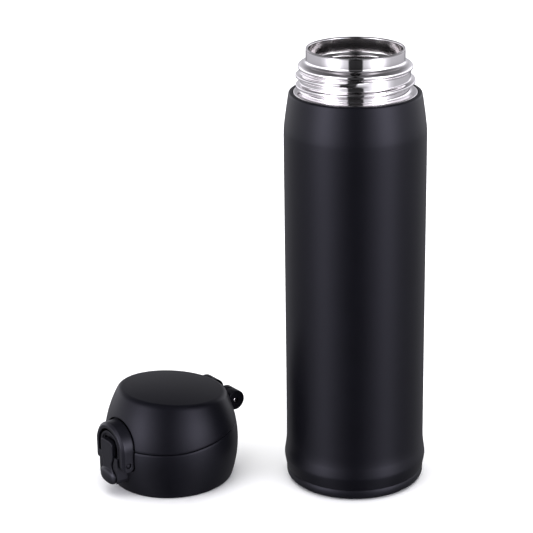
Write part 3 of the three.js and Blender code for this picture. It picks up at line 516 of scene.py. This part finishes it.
def bottle():
    mouth = MOUTH_R - 1.3
    step = LIP_Z - STEP_DROP
    throat = mouth - 2.2
    vessel = BODY_R - 2.9
    shoulder = PAINT_Z - 4
    foot = low("inner_vessel").z
    lip = [
        (MOUTH_R - 0.45, LIP_Z - 1.1),
        (MOUTH_R - 0.05, LIP_Z - 0.9),
        (MOUTH_R, LIP_Z - 0.35),
        (MOUTH_R - 0.35, LIP_Z),
        (mouth + 0.4, LIP_Z),
        (mouth, LIP_Z - 0.4),
    ]
    inside = soft([
        (mouth, LIP_Z - 0.6),
        (mouth, step + 1.2),
        (mouth - 0.5, step + 0.35),
        (throat + 0.4, step),
        (throat, step - 0.6),
        (throat, shoulder + 3),
        (throat + 2.6, shoulder - 1),
        (vessel - 2.4, shoulder - 6),
        (vessel - SHEET, shoulder - 11),
        (vessel - SHEET, foot + 9),
        (vessel - 4, foot + 3),
        (vessel - 9, foot + SHEET),
        (0, foot + SHEET),
    ], 3)
    outside = [
        (0, foot),
        (vessel - 9, foot),
        (vessel - 3, foot + 2.4),
        (vessel, foot + 9),
        (vessel, shoulder - 10),
        (vessel - 2, shoulder - 5),
        (throat + 3.6, shoulder),
        (throat + SHEET, shoulder + 3),
        (throat + SHEET, step - 1),
        (mouth + 0.6, step),
        (mouth + 0.7, LIP_Z - 1.3),
    ]
    obj = turned("bottle", outside + lip + inside, 192)
    piece(obj, "inner_bottle", "flask", ["inner_vessel"], VESSEL, angle=50)


def foot_cap():
    top = high("base_cap").z
    pad_r, pad_z = high("foot_pad").x, high("foot_pad").z
    recess, ceiling = pad_r + GAP, pad_z + GAP
    edge = 3.0
    outline = [(0, ceiling), (recess, ceiling), (recess, 0.15), (recess + 0.15, 0)]
    outline += arc(edge, CAP_R - edge, edge, -90, -10, 10)
    outline += [
        (CAP_R, top - 0.9),
        (CAP_R - 0.35, top),
        (CAP_R - 1.8, top),
        (CAP_R - 1.8, ceiling + 1.8),
        (0, ceiling + 1.8),
    ]
    piece(turned("cap", outline, 192), "foot_cap", "flask", ["base_cap"], CAP)
    profile = [(0, 0.35), (6, 0.35), (6.4, 0)]
    for r in (10, 14, 18, 22):
        profile += [(r, 0), (r + 0.3, 0.35), (r + 0.9, 0.35), (r + 1.2, 0)]
    profile += [(pad_r - 0.5, 0), (pad_r, 0.5), (pad_r, pad_z), (0, pad_z)]
    piece(turned("pad", profile), "foot_pad_ribbed", "flask", ["foot_pad"], RUBBER)


# ---------------------------------------------------------------- lid form


def lid_radius(z):
    if z < BELLY_Z:
        return BELLY_R - (BELLY_R - FOOT_R) * ((BELLY_Z - z) / BELLY_Z) ** 2
    return BELLY_R - (BELLY_R - CROWN_R) * ((z - BELLY_Z) / (LID_TOP - BELLY_Z)) ** 2


def seam(y):
    over = y - SEAM_BEND_Y
    blend = 6.0
    if over <= -blend:
        return SEAM_Z
    if over >= blend:
        return SEAM_Z + SEAM_SLOPE * over
    return SEAM_Z + SEAM_SLOPE * (over + blend) ** 2 / (4 * blend)


def lid_side(z0, z1, wall, steps=26):
    return [
        (lid_radius(z0 + (z1 - z0) * i / steps) - wall, z0 + (z1 - z0) * i / steps)
        for i in range(steps + 1)
    ]


def lid_form(z0, z1, wall=0.0):
    return turned("form", [(0, z0)] + lid_side(z0, z1, wall) + [(0, z1)], 144)


def cover_form(wall, seam_lift, edge, rim, crown, turns=208):
    """The cover's solid form: bent seam, curved side, rim and sloping, slightly crowned top."""
    outlines = []
    for k in range(turns):
        sine = math.sin(2 * math.pi * k / turns)
        foot = seam((BELLY_R - 0.5 - wall) * sine) + seam_lift
        z = LID_TOP
        for _ in range(12):  # where the sloping top meets the curved side
            z = LID_TOP - wall - TOP_SLOPE * (lid_radius(z) - wall) * sine
        r_top = lid_radius(z) - wall

        def top(r, rise=0.0):
            return (r, LID_TOP - wall - TOP_SLOPE * r * sine + rise)

        side = lid_side(foot + edge, z - rim, wall)
        corner = (lid_radius(foot) - wall, foot)
        under = (corner[0] - max(edge, 0.01), foot)
        out = [(0, seam(0) + seam_lift), (under[0] * 0.5, foot), under]
        if edge:
            out.append((corner[0] - edge * 0.3, foot + edge * 0.3))
        out += side
        a, c, b = Vector(side[-1]), Vector((r_top, z)), Vector(top(r_top - rim))
        for i in range(1, 7):
            t = i / 7
            q = a * (1 - t) ** 2 + c * 2 * t * (1 - t) + b * t * t
            out.append((q.x, q.y))
        out.append((b.x, b.y))
        inner = r_top - rim
        for share in (0.96, 0.9, 0.82, 0.72, 0.6, 0.45, 0.3, 0.15):
            out.append(top(inner * share, crown * (1 - share * share)))
        out.append((0, LID_TOP - wall + crown))
        outlines.append(out)
    return made("cover_form", *rings(outlines))


def collar_form(turns=208):
    outlines = []
    for k in range(turns):
        sine = math.sin(2 * math.pi * k / turns)
        head = seam((BELLY_R - 0.5) * sine) - SEAM_HALF
        edge = 0.35
        side = lid_side(0.7, head - edge, 0)
        r_head = lid_radius(head)
        out = [(0, 0), (FOOT_R - 0.9, 0), (FOOT_R - 0.25, 0.18)] + side
        out += [(r_head - edge * 0.3, head - edge * 0.3), (r_head - edge, head)]
        out += [(r_head * 0.5, head), (0, seam(0) - SEAM_HALF)]
        outlines.append(out)
    return made("collar_form", *rings(outlines))


# ---------------------------------------------------------------- latch outlines

PLATE_R = RING_R - 4.2
TAB_Z = RING_Z - 14.7
TAB_FOOT = low("release_lever").z
LEVER_TOP = high("release_lever").z
WAIST_Z = RING_Z - 9
NECK_Z = RING_Z - 3.4
LEVER_BACK = 35.0
LEVER_FRONT = 37.4
TAB_FRONT = 38.8
RING_BACK = 29.2
RING_DEPTH = 6.8
POCKET_R = RING_R + 1
PLATE_FRONT = 33.4
RIM_FRONT = 35.6
CHEEK_FRONT = 36.7
CHEEK_TOP = RING_Z - 3.8
PANEL_POCKET = 30.3
PANEL_POCKET_TOP = DECK_Z + GAP
COLLAR_POCKET = 28.8
COVER_POCKET = 27.9


def lever_outline(grow):
    top_half, waist, tab = 4.9 + grow, 3.4 + grow, 6.5 + grow
    top, foot = LEVER_TOP + grow, TAB_FOOT - grow
    corner = 2.0
    pivot = LEVER_PIVOT.z
    right = bezier((0, foot), (tab - 2.6, foot), (tab, foot + 1.4), (tab, TAB_Z))
    right += bezier((tab, TAB_Z), (tab, TAB_Z + 3), (waist, TAB_Z + 3.4), (waist, WAIST_Z))
    right += bezier((waist, WAIST_Z), (waist, pivot), (top_half, pivot), (top_half, NECK_Z))
    right += [(top_half, NECK_Z), (top_half, top - corner)]
    right += arc(corner, top_half - corner, top - corner, 8, 90, 8)
    left = [(-x, z) for x, z in right[:0:-1]]
    return right + left


def head_outline(half, foot, corner=0.0, steps=48):
    """A round head over straight sides, as the pocket, the panel and the ring have."""
    sides = [(half, foot + corner)] + arc(half, 0, RING_Z, 0, 180, steps)
    sides += [(-half, foot + corner)]
    if not corner:
        return sides
    low_left = [(-half + corner * 0.3, foot + corner * 0.3), (-half + corner, foot)]
    low_right = [(half - corner, foot), (half - corner * 0.3, foot + corner * 0.3)]
    return sides + low_left + low_right


# ---------------------------------------------------------------- lid pieces


def hinge_bar(radius, x0, x1):
    return bar(radius, x0, x1, HINGE.y, HINGE.z)


EAR_OUT, EAR_IN, KNUCKLE_OUT, KNUCKLE_IN = 13.5, 8.2, 7.9, 4.0
KNUCKLE_R = 5.0
FAR = 60.0


def rounded_bar(radius, x0, x1, edge=0.5):
    """A bar along X with rounded ends, for the knuckles."""
    outline = filleted([(0, x0), (radius, x0), (radius, x1), (0, x1)], edge)
    obj = turned("knuckle", outline, 64)
    obj.data.transform(Matrix.Rotation(math.pi / 2, 4, "Y"))
    obj.data.transform(Matrix.Translation((0, HINGE.y * MM, HINGE.z * MM)))
    return obj


def collar():
    obj = collar_form()
    foot_bore, bore = THREAD_R + 0.5, THREAD_R + THREAD_ROOM
    under = turned("under", [
        (0, -5), (foot_bore + 0.4, -5), (foot_bore + 0.4, 0), (foot_bore, 0.4),
        (foot_bore, 2.2), (bore, 2.2), (bore, DECK_Z), (0, DECK_Z),
    ], 144)
    cut(obj, under)
    side = POCKET_R + 1.9
    over = lid_form(DECK_Z + 2, HINGE.z + 2, 2.2)
    cut(over, block((-side, side), (-FAR, -COLLAR_POCKET + 1.9), (0, FAR)))
    cut(obj, over)
    cut(obj, turned("spout_hole", [(0, 5), (16.2, 5), (16.2, FAR), (0, FAR)], 96))
    ring_pocket = outwards(
        head_outline(POCKET_R, RING_PIVOT.z - RING_DEPTH / 2 - GAP - 0.2, 2.2),
        COLLAR_POCKET, FAR,
    )
    cut(ring_pocket, block((-PLATE_R + 0.5, PLATE_R - 0.5), (-PANEL_POCKET, 0),
                           (0, PANEL_POCKET_TOP)))
    cut(obj, ring_pocket)
    panel_foot = TAB_FOOT + 1
    cut(obj, outwards(head_outline(PLATE_R + GAP, panel_foot - GAP, 2.5), PANEL_POCKET, FAR))
    cut(obj, hinge_bar(KNUCKLE_R + 1.8, -EAR_OUT - 1.5, EAR_OUT + 1.5))
    for x0, x1 in ((-EAR_OUT, -EAR_IN), (EAR_IN, EAR_OUT)):
        leg = block((x0, x1), (HINGE.y - 3, FAR), (DECK_Z + 0.4, HINGE.z))
        keep(leg, lid_form(DECK_Z - 1, HINGE.z + 1))
        join(obj, leg, rounded_bar(KNUCKLE_R, x0, x1))
    cut(obj, hinge_bar(HINGE_BORE_R, -FAR, FAR))
    piece(obj, "lid_collar", "lid", ["collar_shell"], LID, lid=True, angle=32)


def lid_thread():
    inner = THREAD_R - 0.75
    outer = THREAD_R + THREAD_ROOM - GAP
    foot, head = 2.5, DECK_Z - GAP
    groove = 1.1
    seated_top = DECK_Z - SEATED_LIP - THREAD_DROP
    rows = 72
    outlines = []
    turns = 240
    for k in range(turns):
        angle = 2 * math.pi * k / turns
        wall = []
        for i in range(rows + 1):
            z = head + (foot - head) * i / rows
            depth = ridge_height(
                angle, z, 0.8, seated_top + THREAD_PITCH * 0.2,
                THREAD_START + 0.4 * math.pi, THREAD_TURNS + 1.1, 0.2
            )
            wall.append((inner + groove * depth, z))
        outlines.append([(outer, foot), (outer, head)] + wall)
    obj = made("lid_thread", *rings(outlines))
    piece(obj, "lid_thread", "lid", ["thread_insert"], LID, lid=True, angle=50)


def spout_piece():
    plug, bore, plug_bore = high("neck_gasket").x - LID_AXIS.x - 1.2, 9.5, 13.5
    foot, top = low("spout").z, high("spout").z
    seat, seat_top = foot + 0.9, foot + 4.7
    outline = [
        (plug_bore, foot), (plug, foot), (plug, seat), (plug - 1.4, seat),
        (plug - 1.4, seat_top), (plug, seat_top), (plug, DECK_Z - GAP), (15.9, DECK_Z - GAP),
        (15.9, DECK_Z + 2.8), (bore + 4.0, DECK_Z + 4.6), (bore + 2.9, DECK_Z + 6.6),
        (bore + 2.5, top - 5), (bore + 1.8, top - 1.6), (bore + 1.5, top),
        (bore + 0.2, top), (bore, top - 1.4), (bore, DECK_Z + 3), (plug_bore, DECK_Z - 3.5),
    ]
    obj = turned("spout", filleted(outline, 0.8), 144)
    piece(obj, "drinking_spout", "lid", ["spout"], SPOUT, lid=True)
    base = low("neck_gasket").z
    head = high("neck_gasket").z
    ring = [(plug - 1.1, base), (plug, base), (plug + 1.2, base + 0.8),
            (plug + 0.7, head - 1), (plug, head), (plug - 1.1, head)]
    obj = turned("gasket", filleted(ring, 0.5), 144)
    piece(obj, "plug_gasket", "lid", ["neck_gasket"], SILICONE, lid=True)


def hinge_metal():
    half = EAR_OUT - 0.4
    radius = HINGE_BORE_R - GAP
    outline = filleted([(0, -half), (radius, -half), (radius, half), (0, half)], 0.4)
    pin = turned("pin", outline, 40)
    pin.data.transform(Matrix.Rotation(math.pi / 2, 4, "Y"))
    pin.data.transform(Matrix.Translation((0, HINGE.y * MM, HINGE.z * MM)))
    piece(pin, "hinge_axle", "lid", ["hinge_pin"], MIRROR, lid=True)
    length = 7.4
    spring = coil("spring", 2.0, 0.7, length, 5,
                  lambda a, b, along: (along - length / 2, HINGE.y + a, HINGE.z + b))
    piece(spring, "hinge_coil", "lid", ["hinge_spring"], WIRE, lid=True)


def latch_panel():
    whole = outwards(head_outline(PLATE_R, TAB_FOOT + 1, 2.5), RING_BACK, CHEEK_FRONT)
    cut(whole, block((-FAR, FAR), (-PANEL_POCKET - GAP, 0), (-5, PANEL_POCKET_TOP + GAP)))
    cut(whole, block((-FAR, FAR), (-FAR, -RIM_FRONT), (CHEEK_TOP, FAR)))
    dish = outwards(head_outline(PLATE_R - 1.2, TAB_FOOT, 0), RIM_FRONT - 0.7, FAR)
    keep(dish, block((-FAR, FAR), (-FAR, 0), (CHEEK_TOP, FAR)))
    cut(whole, dish)
    cut(whole, outwards(lever_outline(0.5), PLATE_FRONT, FAR))
    pivot = LEVER_PIVOT.z
    cut(whole, block((-3.7, 3.7), (-FAR, 0), (pivot - 2, pivot + 2)))
    cut(whole, block((-2.9, 2.9), (-FAR, 0), (RING_Z + 0.9, RING_Z + 4.3)))
    stud_y = -(RING_BACK + RING_DEPTH / 2)
    for x0, x1 in ((-RING_R + 0.4, -PLATE_R + 0.2), (PLATE_R - 0.2, RING_R - 0.4)):
        join(whole, bar(1.0, x0, x1, stud_y, RING_PIVOT.z, 24))
    cut(whole, bar(LEVER_BORE_R, -PLATE_R + 0.7, PLATE_R - 0.7, LEVER_PIVOT.y, pivot, 24))
    moulded(whole, 0.2, 4)
    piece(whole, "latch_panel", "lid", ["latch_housing"], LATCH, lid=True,
          angle=180)


def dome(centre, half, turns=48, rows=24):
    """A rounded lump with flattened sides."""
    verts, faces = [], []
    for i in range(rows + 1):
        lat = math.pi * (i / rows - 0.5)
        for k in range(turns):
            lon = 2 * math.pi * k / turns
            unit = (math.cos(lat) * math.cos(lon), math.cos(lat) * math.sin(lon), math.sin(lat))
            verts.append(tuple(
                c + h * math.copysign(abs(u) ** 0.85, u) for c, h, u in zip(centre, half, unit)
            ))
    for i in range(rows):
        for k in range(turns):
            a, b = i * turns + k, i * turns + (k + 1) % turns
            faces.append((a, b, b + turns, a + turns))
    return made("dome", verts, faces)


def thumb_lever():
    obj = outwards(lever_outline(0), LEVER_BACK, LEVER_FRONT)
    bulb_half = TAB_Z - TAB_FOOT
    bulb = dome((0, -LEVER_FRONT + 0.9, TAB_Z), (6.5, TAB_FRONT - LEVER_FRONT + 0.9, bulb_half))
    keep(bulb, block((-FAR, FAR), (-FAR, -LEVER_BACK), (0, FAR)))
    join(obj, bulb)
    join(obj, bar(1.7, -3.4, 3.4, LEVER_PIVOT.y, LEVER_PIVOT.z, 32))
    nose = block((-2.6, 2.6), (-LEVER_BACK - 0.2, -RING_BACK - 0.2), (RING_Z + 1.5, RING_Z + 3.5))
    join(obj, nose)
    spring_pocket = outwards(arc(2.1, 0, TAB_Z, steps=32), LEVER_BACK - 1, LEVER_BACK + 2.0)
    cut(obj, spring_pocket)
    cut(obj, bar(LEVER_BORE_R, -FAR, FAR, LEVER_PIVOT.y, LEVER_PIVOT.z, 24))
    moulded(obj, 0.18, 8)
    piece(obj, "thumb_lever", "lever", ["release_lever"], LATCH, lid=True,
          angle=180)


def latch_ring():
    foot = RING_PIVOT.z - RING_DEPTH / 2
    obj = outwards(head_outline(RING_R, foot, 0, 64), RING_BACK, RING_BACK + RING_DEPTH)
    cut(obj, outwards(head_outline(RING_R - 3, foot - 2, 0, 64), RING_BACK - 1,
                      RING_BACK + RING_DEPTH + 1))
    back, face = -RING_BACK, -(RING_BACK + RING_DEPTH)
    middle = (back + face) / 2
    side = [(back, RING_Z + RING_R + 1), (face, RING_Z + RING_R + 1)]
    side += arc(RING_DEPTH / 2, middle, RING_PIVOT.z, 180, 360, 24)
    keep(obj, across(side, -RING_R - 1, RING_R + 1))
    chamfer, chamfer_r = 2.2, RING_R + 0.9
    edge = chamfer_r - chamfer
    flare = turned(
        "flare", [(0, 0), (edge, 0), (chamfer_r, chamfer), (chamfer_r, FAR), (0, FAR)], 96
    )
    flare.data.transform(Matrix.Rotation(-math.pi / 2, 4, "X"))
    flare.data.transform(Matrix.Translation((0, face * MM, RING_Z * MM)))
    legs = prism(
        "legs",
        [(-edge, face), (edge, face), (chamfer_r, face + chamfer), (chamfer_r, back + 1),
         (-chamfer_r, back + 1), (-chamfer_r, face + chamfer)],
        lambda x, y, z: (x, y, z), foot - 1, RING_Z + 0.01,
    )
    join(flare, legs)
    keep(obj, flare)
    cut(obj, bar(1.3, -FAR, FAR, middle, RING_PIVOT.z, 32))
    moulded(obj, 0.2, 4)
    piece(obj, "latch_ring", "ring", ["lock_ring"], LATCH, lid=True, angle=180)


def lid_cover():
    obj = cover_form(0.0, SEAM_HALF, 0.35, 2.0, 1.2)
    hollow = cover_form(1.9, -3.0, 0.0, 1.2, 0.0, 144)
    side = POCKET_R + 1.9
    cut(hollow, block((-side, side), (-FAR, -COVER_POCKET + 1.9), (0, RING_Z + side)))
    cut(obj, hollow)
    cut(obj, outwards(arc(POCKET_R, 0, RING_Z, steps=96), COVER_POCKET, FAR))
    cut(obj, block((-3.3, 3.3), (-FAR, -COVER_POCKET + 1.3), (0, SEAM_Z + 4.4)))
    notch = KNUCKLE_R + 0.4
    for x0, x1 in ((-EAR_OUT - 0.4, -KNUCKLE_OUT), (-KNUCKLE_IN, KNUCKLE_IN),
                   (KNUCKLE_OUT, EAR_OUT + 0.4)):
        cut(obj, hinge_bar(notch, x0, x1))
    for x0, x1 in ((-EAR_OUT - 0.4, -KNUCKLE_OUT), (KNUCKLE_OUT, EAR_OUT + 0.4)):
        cut(obj, block((x0, x1), (HINGE.y - 3.3, FAR), (0, HINGE.z)))
    for x0, x1 in ((-KNUCKLE_OUT, -KNUCKLE_IN), (KNUCKLE_IN, KNUCKLE_OUT)):
        join(obj, rounded_bar(KNUCKLE_R, x0, x1, 0.3))
    cut(obj, hinge_bar(HINGE_BORE_R, -FAR, FAR))
    piece(obj, "lid_cover", "cover", ["cover_shell"], LID, lid=True, angle=32)


def cover_inside():
    foot, top = low("cover_liner").z, high("cover_liner").z
    seal_r = 12.0
    plate = foot + 1.8
    outline = [
        (0, plate), (seal_r + 0.3, plate), (seal_r + 0.3, foot), (seal_r + 1.5, foot),
        (seal_r + 1.5, plate), (23.5, plate), (23.5, top), (0, top),
    ]
    obj = turned("plate", filleted(outline, 0.35), 128)
    piece(obj, "cover_plate", "cover", ["cover_liner"], LID, lid=True)
    base, head = low("cover_seal").z, high("cover_seal").z
    outline = [
        (0, base), (8.4, base), (9.1, base + 1.2), (seal_r, base + 1.2), (seal_r, head), (0, head),
    ]
    obj = turned("seal", filleted(outline, 0.45), 128)
    piece(obj, "spout_seal", "cover", ["cover_seal"], SILICONE, lid=True)


body_shell()
neck()
bottle()
foot_cap()
collar()
lid_thread()
spout_piece()
hinge_metal()
latch_panel()
thumb_lever()
latch_ring()
lid_cover()
cover_inside()
carried("base_plate", VESSEL)
carried("seal_bead", BRAZE)
carried("getter", GETTER)
carried("lever_pin", MIRROR)
carried("lever_spring", WIRE)
carried("cover_strike", WIRE, 0.2)


# ---------------------------------------------------------------- studio


FLOOR_WHITE = finish("floor_white", (0.93, 0.93, 0.93), 0.9, grain=40, bump=0.0, spread=0.02,
                     tint=0.0)
# radiance against degrees round from the camera's side
WALL_AROUND = [
    (0, 0.03), (15, 0.04), (18, 0.8), (26, 1.0), (34, 1.4), (42, 2.6), (52, 3.4), (60, 2.8),
    (68, 1.5), (78, 0.9), (89, 0.66), (106, 0.62), (128, 0.6), (148, 0.55), (160, 0.3), (180, 0.14),
]
# the same against degrees of height
WALL_UP = [
    (-90, 0.2), (-40, 0.3), (-30, 0.5), (-25, 0.58), (-20, 0.68), (-16, 0.85), (-13, 1.0),
    (-5, 2.4), (0, 3.0), (10, 3.0), (20, 2.1), (28, 1.1), (38, 0.45), (60, 0.2), (90, 0.15),
]
AROUND_SCALE, UP_SCALE = 4, 3  # a ramp holds levels up to 1


def table():
    """A pale floor that mirrors and glossy surfaces don't see."""
    floor = made(
        "floor",
        [(-3000, -3000, 0), (3000, -3000, 0), (3000, 4000, 0), (-3000, 4000, 0)],
        [(0, 1, 2, 3)],
    )
    floor.data.materials.append(FLOOR_WHITE)
    floor.location.z = -0.00002
    floor.visible_glossy = False


def overhead():
    """One wide soft light above, a little behind the flask, kept out of the reflections."""
    place, aim = Vector((0, 0.3, 1.9)), Vector((0, 0.15, 0))
    data = bpy.data.lights.new("overhead", "AREA")
    data.shape = "RECTANGLE"
    data.size = 2.4
    data.size_y = 2.4
    data.energy = 62
    light = bpy.data.objects.new("overhead", data)
    light.visible_glossy = False
    light.location = place
    light.rotation_euler = (aim - place).to_track_quat("-Z", "Y").to_euler()
    scene.collection.objects.link(light)


def surround():
    """Light walls all round, with a dark gap on the camera's side, brightest just over the horizon."""
    world = bpy.data.worlds.new("studio")
    world.use_nodes = True
    nodes, links = world.node_tree.nodes, world.node_tree.links

    def math_node(operation, *values):
        node = nodes.new("ShaderNodeMath")
        node.operation = operation
        for socket, value in zip(node.inputs, values):
            if isinstance(value, (int, float)):
                socket.default_value = value
            else:
                links.new(value, socket)
        return node.outputs[0]

    def ramp(value, stops):
        node = nodes.new("ShaderNodeValToRGB")
        spare = node.color_ramp.elements[1]
        node.color_ramp.elements.remove(spare)
        for i, (place, level) in enumerate(stops):
            stop = node.color_ramp.elements[0] if i == 0 else node.color_ramp.elements.new(place)
            stop.position = place
            stop.color = (level, level, level, 1)
        links.new(value, node.inputs["Fac"])
        return node.outputs["Color"]

    where = nodes.new("ShaderNodeTexCoord")
    parts = nodes.new("ShaderNodeSeparateXYZ")
    links.new(where.outputs["Generated"], parts.inputs[0])
    front = math_node("MULTIPLY", parts.outputs["Y"], -1.0)
    turn = math_node("ABSOLUTE", math_node("ARCTAN2", parts.outputs["X"], front))
    around = ramp(math_node("DIVIDE", turn, math.pi), [
        (degrees / 180, level / AROUND_SCALE) for degrees, level in WALL_AROUND
    ])
    height = math_node("MULTIPLY_ADD", parts.outputs["Z"], 0.5, 0.5)
    up = ramp(height, [
        (0.5 + 0.5 * math.sin(degrees * RAD), level / UP_SCALE) for degrees, level in WALL_UP
    ])
    both = math_node("MULTIPLY", around, up)
    strength = math_node("MULTIPLY", both, AROUND_SCALE * UP_SCALE)
    links.new(strength, nodes["Background"].inputs["Strength"])
    nodes["Background"].inputs["Color"].default_value = (0.94, 0.935, 1, 1)
    scene.world = world


table()
overhead()
surround()
scene.view_settings.view_transform = "Standard"
scene.view_settings.look = "None"


# ---------------------------------------------------------------- camera

camera_data = bpy.data.cameras.new("camera")
camera_data.sensor_width = 36
camera_data.lens = 121.6
camera_data.shift_x = -0.1454  # the view is cropped off centre
camera_data.clip_end = 50
camera = bpy.data.objects.new("camera", camera_data)
camera.location = (-0.0053, -0.81, 0.399)
camera.rotation_euler = ((90 - 19.77) * RAD, 0, 0)  # looking down on the table
scene.collection.objects.link(camera)
scene.camera = camera
